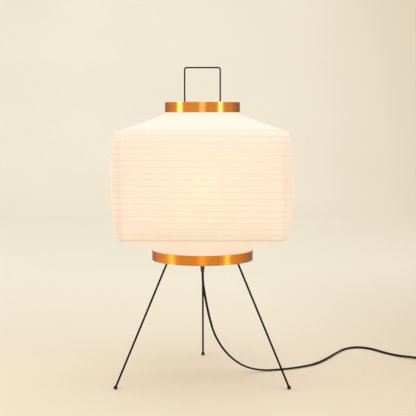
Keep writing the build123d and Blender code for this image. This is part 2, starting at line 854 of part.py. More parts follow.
def make_plug_body():
    """The plug's grip: a narrow nose at the cord and a wide face at the blades."""
    grip_l = plug_l - plug_nose_l
    points = [
        (0, -plug_nose_w / 2),
        (plug_nose_l, -plug_w / 2),
        (plug_l, -plug_w / 2),
        (plug_l, plug_w / 2),
        (plug_nose_l, plug_w / 2),
        (0, plug_nose_w / 2),
    ]
    body = extrude(make_face(Polyline(*points, close=True)), plug_h)
    face_edges = body.edges().filter_by(Axis.Z).group_by(Axis.X)[-1]
    body = fillet(face_edges, min(plug_round, grip_l / 2))
    for blade in blades(fit_gap):
        body -= blade
    return plug_place() * body


def blades(room=0.0):
    """The plug's two flat blades, or their slots with some room round them."""
    pair = []
    for side in (-1, 1):
        spot = Pos(plug_l - blade_root - room, side * blade_spacing / 2, plug_h / 2)
        align = (Align.MIN, Align.CENTER, Align.CENTER)
        pair.append(spot * Box(blade_root + blade_l + room, blade_t + 2 * room, blade_w + 2 * room, align=align))
    return pair


def build_stand():
    """The tripod, its plate and the stem that carries the lampholder."""
    save("stand_plate", make_stand_plate())
    save("leg_sockets", *(make_socket(azimuth) for azimuth in leg_azimuths.values()))
    save("socket_screws", *(make_socket_screw(azimuth) for azimuth in leg_azimuths.values()))
    for name, azimuth in leg_azimuths.items():
        save(f"leg_{name}", rod(*leg_line(azimuth), leg_r))
        save(f"foot_{name}", make_foot(azimuth))
    tube_h = holder_z + tube_into_holder - tube_z
    save("threaded_tube", pipe(tube_d / 2, tube_bore_d / 2, tube_z, tube_h))
    save("tube_nut", make_nut())
    save("stem_sleeve", pipe(sleeve_d / 2, tube_d / 2 + fit_gap, plate_top_z, sleeve_h))
    save("cord_gland", make_gland())


def build_lampholder():
    """The lampholder on its stem."""
    bore_r = holder_d / 2 - holder_wall
    save("holder_base", make_holder_base())
    save("holder_body", pipe(holder_d / 2, bore_r, holder_body_z, holder_body_h))
    save("contact_block", pillar(bore_r - fit_gap, holder_body_z, block_h))
    save("thread_shell", pipe(shell_d / 2, shell_d / 2 - shell_t, block_top_z, shell_h))
    save("centre_contact", pillar(contact_d / 2, block_top_z, contact_t))


def build_bulb():
    """The bulb, standing on the lampholder's centre contact."""
    insulator_z = bulb_z + bulb_tip_h
    cone = Cone(bulb_tip_d / 2, bulb_insulator_top_d / 2, bulb_insulator_h, align=standing)
    save("bulb_contact", pillar(bulb_tip_d / 2, bulb_z, bulb_tip_h))
    save("bulb_insulator", Pos(0, 0, insulator_z) * cone)
    save("bulb_cap", pillar(bulb_cap_d / 2, bulb_cap_z, bulb_cap_h))
    save("bulb_glass", make_bulb_glass())
    save("filament_stem", make_stem())
    save("filaments", *make_filaments())


def build_lantern():
    """The paper shade, its frame and the lower band."""
    save("bottom_band", make_band(bottom_band_r, bottom_band_z, bottom_band_h, lip_on_top=False))
    save("bottom_hoop", make_bottom_hoop())
    save("stretcher_wire", make_stretcher())
    wall = make_wall()
    shoulder = make_slope(top_neck_r, wall_top_z, shoulder_h, shoulder_even_share, 1)
    under = make_slope(bottom_neck_r, wall_z, under_h, under_even_share, -1)
    for name, turn in sides.items():
        save(f"wall_{name}", Rot(0, 0, turn) * wall)
        save(f"shoulder_{name}", Rot(0, 0, turn) * shoulder)
        save(f"under_{name}", Rot(0, 0, turn) * under)
    hoop_inset = edge_hoop_d / 2 + slide_gap
    save("edge_hoop_top", make_edge_hoop(wall_top_z - hoop_inset))
    save("edge_hoop_bottom", make_edge_hoop(wall_z + hoop_inset))
    save("bamboo_rib", make_rib())


def build_top_collar():
    """The top band with the yoke that slides on the stretcher wire."""
    save("top_band", make_band(top_band_r, top_band_z, top_band_h, lip_on_top=True))
    save("top_hoop", make_top_hoop())
    save("top_yoke", make_yoke())
    save("yoke_rivets", *make_rivets())
    save("grip_bushes", *make_bushes())


def build_cord():
    """The cord, the inline switch, the coil and the plug."""
    save("cord_run", make_cord_run())
    save("switch_bottom", make_switch_bottom())
    save("switch_top", make_switch_top())
    save("switch_screws", *(on_switch(screw) for screw in case_screws()))
    save("rocker_pin", on_switch(rocker_pin()))
    save("switch_rocker", make_rocker())
    save("cord_coil", make_coil())
    save("coil_tie", make_tie())
    save("plug_body", make_plug_body())
    save("plug_blades", *(plug_place() * blade for blade in blades()))


os.makedirs("parts", exist_ok=True)
build_stand()
build_lampholder()
build_bulb()
build_lantern()
build_top_collar()
build_cord()
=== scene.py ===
import math

import bpy
from mathutils import Matrix, Vector


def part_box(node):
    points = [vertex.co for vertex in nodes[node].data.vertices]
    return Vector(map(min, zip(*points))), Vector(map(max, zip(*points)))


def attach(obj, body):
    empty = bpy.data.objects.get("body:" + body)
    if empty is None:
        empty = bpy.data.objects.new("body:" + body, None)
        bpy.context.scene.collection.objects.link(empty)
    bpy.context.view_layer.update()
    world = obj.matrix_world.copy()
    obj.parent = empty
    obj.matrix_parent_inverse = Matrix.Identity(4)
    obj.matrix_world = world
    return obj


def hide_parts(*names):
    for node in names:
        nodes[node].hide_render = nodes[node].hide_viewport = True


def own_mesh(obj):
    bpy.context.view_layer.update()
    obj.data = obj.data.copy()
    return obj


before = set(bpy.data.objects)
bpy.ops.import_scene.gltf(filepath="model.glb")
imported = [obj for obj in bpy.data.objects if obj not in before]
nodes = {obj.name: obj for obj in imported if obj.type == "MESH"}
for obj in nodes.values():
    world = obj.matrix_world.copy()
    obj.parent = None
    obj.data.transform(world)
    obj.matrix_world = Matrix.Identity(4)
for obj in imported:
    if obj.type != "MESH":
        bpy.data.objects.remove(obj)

# A paper lantern floor lamp. Metres, +Z up, front towards -Y, origin on the floor on the lamp's axis.
scene = bpy.context.scene
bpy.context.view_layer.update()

# The photograph's camera
IMAGE_SIDE = 416  # pixels
FOCAL_PIXELS = 1052.3
SENSOR_WIDTH = 36.0  # millimetres
CLIP_NEAR = 0.01
CLIP_FAR = 100.0
CAMERA_PLACE = (0.0129, -2.4527, 0.621)
CAMERA_PITCH = 5.094  # degrees below level

# Paper shade, the sizes that its solids have
PAPER_T = 0.0007
SHADE_HALF = 0.181  # from the axis to the straight edges at the wall's top and bottom
EDGE_BOW = 0.0015  # how far those edges bow out in the middle
EDGE_CUT = 0.006  # length of an edge given up to each rounded corner
EDGE_ROLL = 0.009  # how far the wall steps out close to its edges
EDGE_ROLL_POWER = 12
CORNER_SWELL = 0.0075  # how much farther the wall is out at half height
SIDE_BOW = 0.011  # how much more its sides bow there
CUT_GROWTH = 0.018  # how much more of a side its rounded corners take there
NECK_POWER = 8
NECK_ANGLE = math.radians(35.0)
SHOULDER_EVEN = 0.9
UNDER_EVEN = 0.85
PAPER_TUCK = 0.009
NECK_GAP = 0.0011  # from a band's outer face to the paper inside it
BOW_SHARE = 0.92  # share of a side's turn between its rounded corners
RIB_PITCH = 0.0134
RIB_TOP_DROP = 0.0044
RIB_RELIEF = 0.0005  # how far the paper stands out over the rib
SIDE_NAMES = ("back", "left", "front", "right")
WALL_LOW, WALL_HIGH = (corner.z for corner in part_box("wall_front"))
UNDER_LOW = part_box("under_front")[0].z + PAPER_TUCK
SHOULDER_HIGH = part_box("shoulder_front")[1].z - PAPER_TUCK

# Fineness of the paper's mesh
SIDE_STEPS = 20
CORNER_STEPS = 8
ROWS_A_PITCH = 8
SLOPE_ROWS = 22
SLOPE_CROWDING = 1.6  # crowds the rows of a slope towards its band

# Flat twin cord
CORD_WIDTH = 0.006
CORD_THICK = 0.0034
TWIN_ARC = 250.0  # degrees of each conductor's round that show
TWIN_STEPS = 9
CORD_ROUTE = [
    (0.0, 0.0, 0.275),
    (0.0, 0.0, 0.2332),
    (0.004, 0.0012, 0.204),
    (0.014, 0.005, 0.150),
    (0.028, 0.0095, 0.098),
    (0.057, 0.019, 0.051),
    (0.097, 0.033, 0.017),
    (0.143, 0.049, 0.003),
    (0.190, 0.061, 0.003),
    (0.237, 0.083, 0.003),
    (0.281, 0.117, 0.003),
    (0.314, 0.171, 0.003),
    (0.344, 0.234, 0.003),
    (0.375, 0.289, 0.003),
    (0.411, 0.309, 0.003),
    (0.445, 0.288, 0.003),
    (0.469, 0.245, 0.003),
    (0.500, 0.206, 0.003),
]
SPLINE_ORDER = 3
SPLINE_STEPS = 10  # between two points of a route
STEEP_LEVEL = 0.3  # where the cord runs more upright than this, its level side is kept from before
# Share of the cord's length, and the flat cord's lean there in degrees: 0 lies flat, 90 stands on edge
CORD_LEANS = [
    (0.0, 60.0), (0.2, 50.0), (0.36, 12.0), (0.47, 10.0),
    (0.56, 45.0), (0.68, 12.0), (0.8, 80.0), (1.0, 90.0),
]
COIL_LEANS = [(0.0, 90.0), (1.0, 90.0)]

# Switch, coil and plug on the floor
SWITCH_MIDDLE = Vector((0.585, 0.138, 0.0))
SWITCH_TURN = math.radians(-36.87)
SWITCH_HALF = 0.028
SWITCH_LEAD = 0.032
SWITCH_CORD_Z = 0.006
COIL_OUTER_R = 0.038
COIL_STEP = 0.0074
COIL_TURNS = 2
COIL_CLIMB = 0.5  # turns in which the cord climbs to the upper layer
COIL_LEAD_IN = 0.040
COIL_LEAD_IN_BEND = 0.4  # share of the lead
COIL_LEAD_IN_DIP = 0.001
COIL_LEAD_OUT = 0.034
COIL_LEAD_OUT_BEND = 0.6  # share of the lead
COIL_Z = 0.0039
COIL_POINTS_A_TURN = 16
PLUG_CORD_Z = 0.009

# Strain reliefs
RELIEF_LENGTH = 0.022
RELIEF_RINGS = 22
RELIEF_SIDES = 24
RELIEF_GROOVE = 0.0005
RELIEF_GROOVE_STEP = 3  # every third ring is a groove
RELIEF_END = 0.0072  # across the thin end
SWITCH_RELIEF = (0.0125, 0.0095)  # width and height of the thick end
PLUG_RELIEF = (0.0108, 0.0105)

# Rounding of hard edges: pieces and the width of the rounding
SOFT_EDGE_ANGLE = math.radians(50.0)
SOFT_EDGE_SEGMENTS = 2
SOFT_EDGES = [
    (("top_band", "bottom_band", "top_yoke", "plug_blades", "grip_bushes"), 0.0002),
    (("stand_plate", "leg_sockets", "tube_nut", "stem_sleeve", "switch_rocker"), 0.0004),
    (("top_hoop", "bottom_hoop", "holder_body"), 0.0006),
]

# Lit paper: its own tones, a paler painted tone on the shoulder where light from above falls, painted shade
# of rib and folds, and the light that comes through it
SHEET_DARK = (0.47, 0.40, 0.325)
SHEET_LIGHT = (0.53, 0.46, 0.385)
# Painted light: a paler tone for the shoulder, where the light from above falls on it
SHEET_TOP_LIT = (0.52, 0.49, 0.43)
SHEET_SHADED = (0.10, 0.055, 0.03)
FIBRE_SHARE = 0.6  # share of the fibres in the paper's pattern, next to its clouds
PAPER_LIGHT = (0.48, 0.372, 0.292)
PAPER_GLOW = (0.49, 0.47, 0.33)
PAPER_UPPER_LIGHT = (0.44, 0.425, 0.355)
PAPER_UNDER_LIGHT = (0.56, 0.455, 0.37)
# Painted shade: the corners get a dimmer light than the middle of a side
PAPER_CORNER_LIGHT = (0.41, 0.31, 0.238)
PAPER_SHADED_LIGHT = (0.06, 0.02, 0.005)
CORNER_FADE = (0.445, 0.475)  # share of a side, from its middle, where the corner's dimmer painted light begins and is full
PAPER_MOTTLE = 0.06
# Painted shadow of the rib and of the folds at the wall's edges, and how dark it is
RIB_LINE_CORE = 0.03  # in turns of the rib
RIB_LINE_EDGE = 0.14
RIB_SHADOW_DEPTH = 0.09
RIB_WOBBLE = 0.07  # in turns of the rib
FOLD_HALF = 0.0022
LOW_FOLD_SHADOW_DEPTH = 0.22
TOP_FOLD_SHADOW_DEPTH = 0.12
FOLD_FADE = 0.004
GLOW_HEIGHT = 0.463
GLOW_SPOT = 0.045
GLOW_HAZE = 0.20
GLOW_HAZE_SHARE = 0.5
UPPER_FADE = 0.060  # how far down the wall the daylight from above pales it
UPPER_FADE_SHARE = 0.35
ROLL_SHARE = 0.75  # the same for the paper between the upper edge and the rib's first turn

# Bands
COPPER_DARK = (0.77, 0.240, 0.008)
COPPER_LIGHT = (0.87, 0.305, 0.016)
COPPER_SEAM = (0.45, 0.14, 0.012)
COPPER_EDGE_TINT = (0.10, 0.03, 0.005)  # where the sheet turns away
BOTTOM_SEAM = math.radians(17.7)  # heading of the lap seam, from the front towards the right
TOP_SEAM = math.radians(160.0)
SEAM_HALF = 0.006  # in radians

# Stage: a sweep whose cream carries painted shade towards the right and towards the front
STAGE_FRONT = -24.0
STAGE_BACK = 7.5
STAGE_BEND = 3.5
STAGE_HEIGHT = 12.0
STAGE_HALF = 24.0
STAGE_STEPS = 24
CREAM_DARK = (0.905, 0.86, 0.745)
CREAM_LIGHT = (0.93, 0.885, 0.775)
# Painted shade on the sweep, towards the right and towards the front
SHADED_CREAM_RIGHT = (0.77, 0.685, 0.53)
SHADED_CREAM_NEAR = (0.78, 0.70, 0.57)
SHADED_CREAM_NEAR_RIGHT = (0.68, 0.585, 0.45)
RIGHT_FADE = (0.2, 2.6)  # along X
NEAR_FADE = (2.0, -0.5)  # along Y
NEAR_RIGHT_FADE = (0.1, 0.8)  # along X

# Light: an even world, and lamps by name, place, aim, width and height, watts and colour
WORLD_STRENGTH = 0.80
WORLD_COLOUR = (1.0, 0.985, 0.96)
LAMP_AIM = (0.0, 0.0, 0.45)
LAMPS = [
    ("lamp_right", (2.05, -1.35, 0.95), LAMP_AIM, (0.4, 1.4), 18.0, (1.0, 0.97, 0.94)),
    ("lamp_left", (-2.35, -0.75, 0.95), LAMP_AIM, (0.65, 1.4), 20.0, (1.0, 0.97, 0.94)),
    ("lamp_front", (0.0, -4.2, 0.95), (0.0, 0.0, 0.6), (1.2, 0.7), 10.0, (1.0, 0.97, 0.93)),
    ("lamp_wall", (0.0, 2.5, 6.0), (0.0, STAGE_BACK, 1.0), (6.0, 1.5), 62.0, (1.0, 0.98, 0.95)),
    ("lamp_top", (0.0, -0.5, 2.6), LAMP_AIM, (1.6, 1.6), 7.0, (1.0, 0.98, 0.95)),
]


# Helpers for meshes

def new_mesh(name, points, faces):
    """A smooth mesh object from points and faces."""
    data = bpy.data.meshes.new(name)
    data.from_pydata([tuple(p) for p in points], [], faces)
    data.update()
    for polygon in data.polygons:
        polygon.use_smooth = True
    made = bpy.data.objects.new(name, data)
    scene.collection.objects.link(made)
    return made


def ring_faces(rows, ring):
    """Faces between closed rings of points, each ring joined to the one after it."""
    faces = []
    for row in range(rows - 1):
        low = row * ring
        high = low + ring
        for column in range(ring):
            following = (column + 1) % ring
            faces.append((low + column, low + following, high + following, high + column))
    return faces


def end_faces(rows, ring):
    """The faces that close the first and the last ring."""
    return [tuple(reversed(range(ring))), tuple(range((rows - 1) * ring, rows * ring))]


def apply_modifiers(piece):
    """Keep a piece's shape with its modifiers applied."""
    graph = bpy.context.evaluated_depsgraph_get()
    shaped = bpy.data.meshes.new_from_object(piece.evaluated_get(graph))
    piece.modifiers.clear()
    piece.data = shaped


# Helpers for materials

def new_material(name):
    """A material with its tree and its main shader."""
    material = bpy.data.materials.new(name)
    material.use_nodes = True
    tree = material.node_tree
    return material, tree, tree.nodes["Principled BSDF"]


def node(tree, kind, inputs=None, **settings):
    """A shader node with its properties and inputs set."""
    made = tree.nodes.new(kind)
    for key, value in settings.items():
        setattr(made, key, value)
    for key, value in (inputs or {}).items():
        made.inputs[key].default_value = value
    return made


def wire(tree, start, end):
    """A link between two sockets."""
    tree.links.new(start, end)


def settle(shader, **values):
    """Constant values on a shader's inputs, with underscores for the spaces in their names."""
    for key, value in values.items():
        shader.inputs[key.replace("_", " ")].default_value = value


def math_node(tree, operation, first, second=None, third=None):
    """The output of a sum on sockets or numbers."""
    made = node(tree, "ShaderNodeMath", operation=operation)
    for slot, value in enumerate((first, second, third)):
        if isinstance(value, bpy.types.NodeSocket):
            wire(tree, value, made.inputs[slot])
        elif value is not None:
            made.inputs[slot].default_value = value
    return made.outputs[0]


def inverse(tree, value):
    """1 less a value."""
    return math_node(tree, "SUBTRACT", 1.0, value)


def faded(tree, value, start, end):
    """0 before a start, 1 past an end, and smooth between."""
    made = node(tree, "ShaderNodeMapRange", interpolation_type="SMOOTHSTEP")
    wire(tree, value, made.inputs["Value"])
    made.inputs["From Min"].default_value = start
    made.inputs["From Max"].default_value = end
    return made.outputs["Result"]


def toned(tree, pattern, dark, light, low=0.3, high=0.7):
    """A colour between two tones, by a pattern."""
    made = node(tree, "ShaderNodeValToRGB")
    for element, place, colour in zip(made.color_ramp.elements, (low, high), (dark, light)):
        element.position = place
        element.color = (*colour, 1.0)
    wire(tree, pattern, made.inputs["Fac"])
    return made.outputs["Color"]


def mixed(tree, factor, first, second):
    """Two colours mixed by a factor, each a socket or a colour."""
    made = node(tree, "ShaderNodeMix", data_type="RGBA", blend_type="MIX")
    wire(tree, factor, made.inputs[0])
    for slot, value in ((6, first), (7, second)):
        if isinstance(value, bpy.types.NodeSocket):
            wire(tree, value, made.inputs[slot])
        else:
            made.inputs[slot].default_value = (*value, 1.0)
    return made.outputs[2]


def noise(tree, place, scale, detail=3.0, roughness=0.5, stretch=None):
    """Noise over a place, which can be stretched."""
    made = node(tree, "ShaderNodeTexNoise", {"Scale": scale, "Detail": detail, "Roughness": roughness})
    if stretch:
        mapping = node(tree, "ShaderNodeMapping", {"Scale": stretch})
        wire(tree, place, mapping.inputs["Vector"])
        place = mapping.outputs["Vector"]
    wire(tree, place, made.inputs["Vector"])
    return made.outputs["Fac"]


def object_space(tree):
    """The coordinates of a piece in its own frame."""
    return node(tree, "ShaderNodeTexCoord").outputs["Object"]


def split_axes(tree, place):
    """The first two coordinates of a place."""
    made = node(tree, "ShaderNodeSeparateXYZ")
    wire(tree, place, made.inputs[0])
    return made.outputs["X"], made.outputs["Y"]


def colour_by(tree, shader, colour):
    """The shader's colour from a socket."""
    wire(tree, colour, shader.inputs["Base Color"])


def roughen(tree, shader, pattern, least, spread):
    """Roughness that varies with a pattern."""
    wire(tree, math_node(tree, "MULTIPLY_ADD", pattern, spread, least), shader.inputs["Roughness"])


def bump(tree, shader, pattern, strength, distance):
    """Fine relief on a shader, by a pattern."""
    made = node(tree, "ShaderNodeBump", {"Strength": strength, "Distance": distance})
    wire(tree, pattern, made.inputs["Height"])
    wire(tree, made.outputs["Normal"], shader.inputs["Normal"])


def dress(material, *names):
    """Give a material to CAD nodes or pieces by name."""
    for name in names:
        piece = bpy.data.objects[name]
        piece.data.materials.clear()
        piece.data.materials.append(material)


# The camera

def make_camera():
    """The photograph's camera: a long lens about level with the shade's top, looking slightly down."""
    data = bpy.data.cameras.new("camera")
    data.sensor_width = SENSOR_WIDTH
    data.lens = SENSOR_WIDTH * FOCAL_PIXELS / IMAGE_SIDE
    data.clip_start = CLIP_NEAR
    data.clip_end = CLIP_FAR
    camera = bpy.data.objects.new("camera", data)
    camera.location = CAMERA_PLACE
    camera.rotation_euler = (math.radians(90.0 - CAMERA_PITCH), 0.0, 0.0)
    scene.collection.objects.link(camera)
    scene.camera = camera


# The cord

def on_switch(along, across, z):
    """A point by its distance along and across the switch."""
    return SWITCH_MIDDLE + Matrix.Rotation(SWITCH_TURN, 3, "Z") @ Vector((along, across, z))


def coil_route():
    """Points from the switch round the coil, in on the lower layer and out on the upper one, to the plug."""
    bend = SWITCH_HALF + COIL_LEAD_IN_BEND * COIL_LEAD_IN
    points = [
        on_switch(SWITCH_HALF, 0.0, SWITCH_CORD_Z),
        on_switch(bend, 0.0, SWITCH_CORD_Z - COIL_LEAD_IN_DIP),
    ]
    middle = on_switch(SWITCH_HALF + COIL_LEAD_IN, COIL_OUTER_R, COIL_Z)
    last = 2 * COIL_TURNS + COIL_CLIMB
    for count in range(int(last * COIL_POINTS_A_TURN) + 1):
        turns = count / COIL_POINTS_A_TURN
        inside = min(turns, COIL_TURNS) - max(0.0, turns - COIL_TURNS - COIL_CLIMB)
        climbed = min(max(turns - COIL_TURNS, 0.0), COIL_CLIMB) / COIL_CLIMB
        radius = COIL_OUTER_R - COIL_STEP * inside
        angle = SWITCH_TURN + 2 * math.pi * turns
        arm = Vector((math.sin(angle), -math.cos(angle), 0.0))
        points.append(middle + arm * radius + Vector((0.0, 0.0, COIL_STEP * climbed)))
    back = Matrix.Rotation(SWITCH_TURN, 3, "Z") @ Vector((-1.0, 0.0, 0.0))
    end = points[-1] + back * COIL_LEAD_OUT
    end.z = PLUG_CORD_Z
    points.append(end - back * COIL_LEAD_OUT_BEND * COIL_LEAD_OUT)
    points.append(end)
    return points


def spline_points(name, route):
    """Points along the smooth spline that has the route as its control points."""
    data = bpy.data.curves.new(name, "CURVE")
    data.dimensions = "3D"
    data.resolution_u = SPLINE_STEPS
    spline = data.splines.new("NURBS")
    spline.points.add(len(route) - 1)
    for point, place in zip(spline.points, route):
        point.co = (*place, 1.0)
    spline.order_u = SPLINE_ORDER
    spline.use_endpoint_u = True
    holder = bpy.data.objects.new(name, data)
    scene.collection.objects.link(holder)
    line = bpy.data.meshes.new_from_object(holder)
    points = [vertex.co.copy() for vertex in line.vertices]
    bpy.data.objects.remove(holder)
    bpy.data.meshes.remove(line)
    return points


def lean_at(leans, share):
    """The flat cord's lean at a share of its length, in radians."""
    for (before, first), (after, last) in zip(leans, leans[1:]):
        if share <= after:
            part = (share - before) / (after - before)
            part = part * part * (3 - 2 * part)
            return math.radians(first + (last - first) * part)
    return math.radians(leans[-1][1])


def twin_section():
    """The outline of a flat twin cord: two round conductors side by side with a groove between them."""
    lobe = CORD_THICK / 2
    apart = CORD_WIDTH / 2 - lobe
    outline = []
    for side in (1, -1):
        for step in range(TWIN_STEPS):
            angle = math.radians(TWIN_ARC * (step / (TWIN_STEPS - 1) - 0.5))
            outline.append((side * (apart + lobe * math.cos(angle)), side * lobe * math.sin(angle)))
    return outline


def make_flat_cord(name, route, leans):
    """A flat twin cord swept along the smooth line of a route, leaning as it goes, and that line."""
    line = spline_points(name + "_line", route)
    outline = twin_section()
    lengths = [0.0]
    for before, after in zip(line, line[1:]):
        lengths.append(lengths[-1] + (after - before).length)
    points = []
    side = Vector((0.0, 1.0, 0.0))
    for count, place in enumerate(line):
        ahead = line[min(count + 1, len(line) - 1)] - line[max(count - 1, 0)]
        ahead.normalize()
        level = Vector((0.0, 0.0, 1.0)).cross(ahead)
        if level.length > STEEP_LEVEL:
            side = level.normalized() if side.dot(level) >= 0 else -level.normalized()
        side = (side - ahead * side.dot(ahead)).normalized()
        lean = lean_at(leans, lengths[count] / lengths[-1])
        across = Matrix.Rotation(lean, 3, ahead) @ side
        over = ahead.cross(across)
        for u, v in outline:
            points.append(place + across * u + over * v)
    ring = len(outline)
    faces = ring_faces(len(line), ring) + end_faces(len(line), ring)
    return new_mesh(name, points, faces), line


def make_relief(name, line, width, height):
    """A tapered, grooved strain relief round the first stretch of a line that leaves a housing."""
    points = []
    travelled = 0.0
    rings = 0
    for before, after in zip(line, line[1:]):
        ahead = (after - before).normalized()
        side = Vector((0.0, 0.0, 1.0)).cross(ahead).normalized()
        over = ahead.cross(side)
        while rings <= RELIEF_RINGS:
            along = RELIEF_LENGTH * rings / RELIEF_RINGS
            if along > travelled + (after - before).length:
                break
            grooved = rings % RELIEF_GROOVE_STEP == 1 and rings < RELIEF_RINGS
            groove = RELIEF_GROOVE if grooved else 0.0
            taper = along / RELIEF_LENGTH
            half_wide = (width + (RELIEF_END - width) * taper) / 2 - groove
            half_high = (height + (RELIEF_END - height) * taper) / 2 - groove
            place = before + ahead * (along - travelled)
            for step in range(RELIEF_SIDES):
                angle = 2 * math.pi * step / RELIEF_SIDES
                points.append(place + side * half_wide * math.cos(angle) + over * half_high * math.sin(angle))
            rings += 1
        travelled += (after - before).length
    faces = ring_faces(rings, RELIEF_SIDES) + end_faces(rings, RELIEF_SIDES)
    relief = new_mesh(name, points, faces)
    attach(relief, "stand")


def make_cords():
    """The cord from the gland to the switch, and its coil from the switch to the plug."""
    lead = on_switch(-SWITCH_HALF - SWITCH_LEAD, 0.0, SWITCH_CORD_Z)
    entry = on_switch(-SWITCH_HALF, 0.0, SWITCH_CORD_Z)
    run, line = make_flat_cord("flat_cord", [*CORD_ROUTE, lead, entry], CORD_LEANS)
    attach(run, "stand")
    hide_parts("cord_run")
    coil, coil_line = make_flat_cord("flat_cord_coil", coil_route(), COIL_LEANS)
    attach(coil, "stand")
    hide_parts("cord_coil")
    make_relief("switch_relief_in", line[::-1], *SWITCH_RELIEF)
    make_relief("switch_relief_out", coil_line, *SWITCH_RELIEF)
    make_relief("plug_relief", coil_line[::-1], *PLUG_RELIEF)


# The paper shade

def bow_of(outline):
    """Radius of a side's bow, and the angle from its middle to where the corner's arc begins."""
    middle, reach, depth = outline
    bow = middle - depth
    radius = (reach**2 + bow**2) / (2 * bow)
    return radius, math.asin(reach / radius)


def wall_outline(z):
    """Half width at the middle of a side, then place and half width where its bow meets the corner's arc."""
    level = abs(2 * (z - WALL_LOW) / (WALL_HIGH - WALL_LOW) - 1)
    swell = 1 - level**2
    roll = 1 - level**EDGE_ROLL_POWER
    depth = SHADE_HALF + EDGE_ROLL * roll + CORNER_SWELL * swell
    reach = depth - EDGE_CUT - CUT_GROWTH * (roll + swell) / 2
    return depth + EDGE_BOW + SIDE_BOW * swell, reach, depth


def slope_outline(neck_r, share):
    """Outline of a slope, from its round band (share 0) to the wall's edge (share 1)."""
    edge_middle, edge_reach, edge_depth = wall_outline(WALL_LOW)
    middle = neck_r + share * (edge_middle - neck_r)
    round_reach = math.sin(NECK_ANGLE)
    round_depth = math.cos(NECK_ANGLE)
    reach = middle * (round_reach + share * (edge_reach / edge_middle - round_reach))
    depth = middle * (round_depth + share * (edge_depth / edge_middle - round_depth))
    return middle, reach, depth


def slope_rise(height, even_share, share):
    """How far a slope is from the wall's edge in height."""
    left = 1 - share
    return height * (even_share * left + (1 - even_share) * left**NECK_POWER)


def side_section(outline):
    """The front side of a level section with the corner after it: (place, heading of its normal, share)."""
    middle, reach, depth = outline
    bow_r, angle = bow_of(outline)
    corner_r = (depth - reach) / (math.cos(angle) - math.sin(angle))
    corner_x = reach - corner_r * math.sin(angle)
    row = []
    for step in range(SIDE_STEPS + 1):
        share = 2 * step / SIDE_STEPS - 1
        heading = angle * share
        place = Vector((bow_r * math.sin(heading), bow_r - middle - bow_r * math.cos(heading)))
        row.append((place, heading, share * BOW_SHARE / 2))
    for step in range(1, CORNER_STEPS):
        part = step / CORNER_STEPS
        heading = angle + (math.pi / 2 - 2 * angle) * part
        place = Vector((corner_x + corner_r * math.sin(heading), -corner_x - corner_r * math.cos(heading)))
        row.append((place, heading, BOW_SHARE / 2 + (1 - BOW_SHARE) * part))
    return row


def level_section(outline):
    """A closed level section from the back by the left, front and right: (place, outward, turn share)."""
    row = side_section(outline)
    ring = []
    for count in range(len(SIDE_NAMES)):
        turn = Matrix.Rotation(math.pi + math.pi / 2 * count, 2)
        for place, heading, share in row:
            outward = Vector((math.sin(heading), -math.cos(heading)))
            ring.append((turn @ place, turn @ outward, (count + share) / len(SIDE_NAMES)))
    return ring


def shade_rows():
    """Stations up the shade from the lower tuck to the upper one: (outline, height, share of rib relief)."""
    bottom_neck_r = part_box("bottom_band")[1].x - NECK_GAP
    top_neck_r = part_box("top_band")[1].x - NECK_GAP
    rows = [(slope_outline(bottom_neck_r, 0.0), UNDER_LOW - PAPER_TUCK, 0.0)]
    for step in range(SLOPE_ROWS):
        share = (step / SLOPE_ROWS) ** SLOPE_CROWDING
        z = WALL_LOW - slope_rise(WALL_LOW - UNDER_LOW, UNDER_EVEN, share)
        rows.append((slope_outline(bottom_neck_r, share), z, 0.0))
    steps = round((WALL_HIGH - WALL_LOW) / RIB_PITCH * ROWS_A_PITCH)
    for step in range(steps + 1):
        z = WALL_LOW + (WALL_HIGH - WALL_LOW) * step / steps
        from_edge = min(step, steps - step) / (ROWS_A_PITCH / 2)
        rows.append((wall_outline(z), z, min(1.0, from_edge)))
    for step in range(1, SLOPE_ROWS + 1):
        share = (1 - step / SLOPE_ROWS) ** SLOPE_CROWDING
        z = WALL_HIGH + slope_rise(SHOULDER_HIGH - WALL_HIGH, SHOULDER_EVEN, share)
        rows.append((slope_outline(top_neck_r, share), z, 0.0))
    rows.append((slope_outline(top_neck_r, 0.0), SHOULDER_HIGH + PAPER_TUCK, 0.0))
    return rows


def rib_relief(turn, z):
    """How far the paper stands out over the rib that winds down inside it."""
    phase = (WALL_HIGH - RIB_TOP_DROP - z) / RIB_PITCH - turn
    near = abs(phase - round(phase))
    return RIB_RELIEF * (1 - math.sqrt(near * 2))


def map_turn_and_height(shade, ring, turns, heights):
    """Texture coordinates of the paper: share of a turn from the back, and height at rest."""
    layer = shade.data.uv_layers.new(name="turn_and_height")
    for polygon in shade.data.polygons:
        seam = polygon.index % ring == ring - 1
        for loop in polygon.loop_indices:
            vertex = shade.data.loops[loop].vertex_index
            turn = turns[vertex]
            if seam and vertex % ring == 0:
                turn += 1.0
            layer.data[loop].uv = (turn, heights[vertex])


def make_shade():
    """The paper as one thin sheet from band to band, standing out a little over the rib."""
    rows = shade_rows()
    points = []
    turns = []
    heights = []
    for outline, z, rib in rows:
        for place, outward, turn in level_section(outline):
            out = outward * (rib * rib_relief(turn, z))
            points.append((place.x + out.x, place.y + out.y, z))
            turns.append(turn)
            heights.append(z)
    ring = len(points) // len(rows)
    shade = new_mesh("paper_shade", points, ring_faces(len(rows), ring))
    map_turn_and_height(shade, ring, turns, heights)
    solid = shade.modifiers.new("thickness", "SOLIDIFY")
    solid.thickness = PAPER_T
    solid.offset = -1.0
    apply_modifiers(shade)
    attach(shade, "lantern")
    panels = [f"{kind}_{side}" for kind in ("wall", "shoulder", "under") for side in SIDE_NAMES]
    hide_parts(*panels)
    return shade


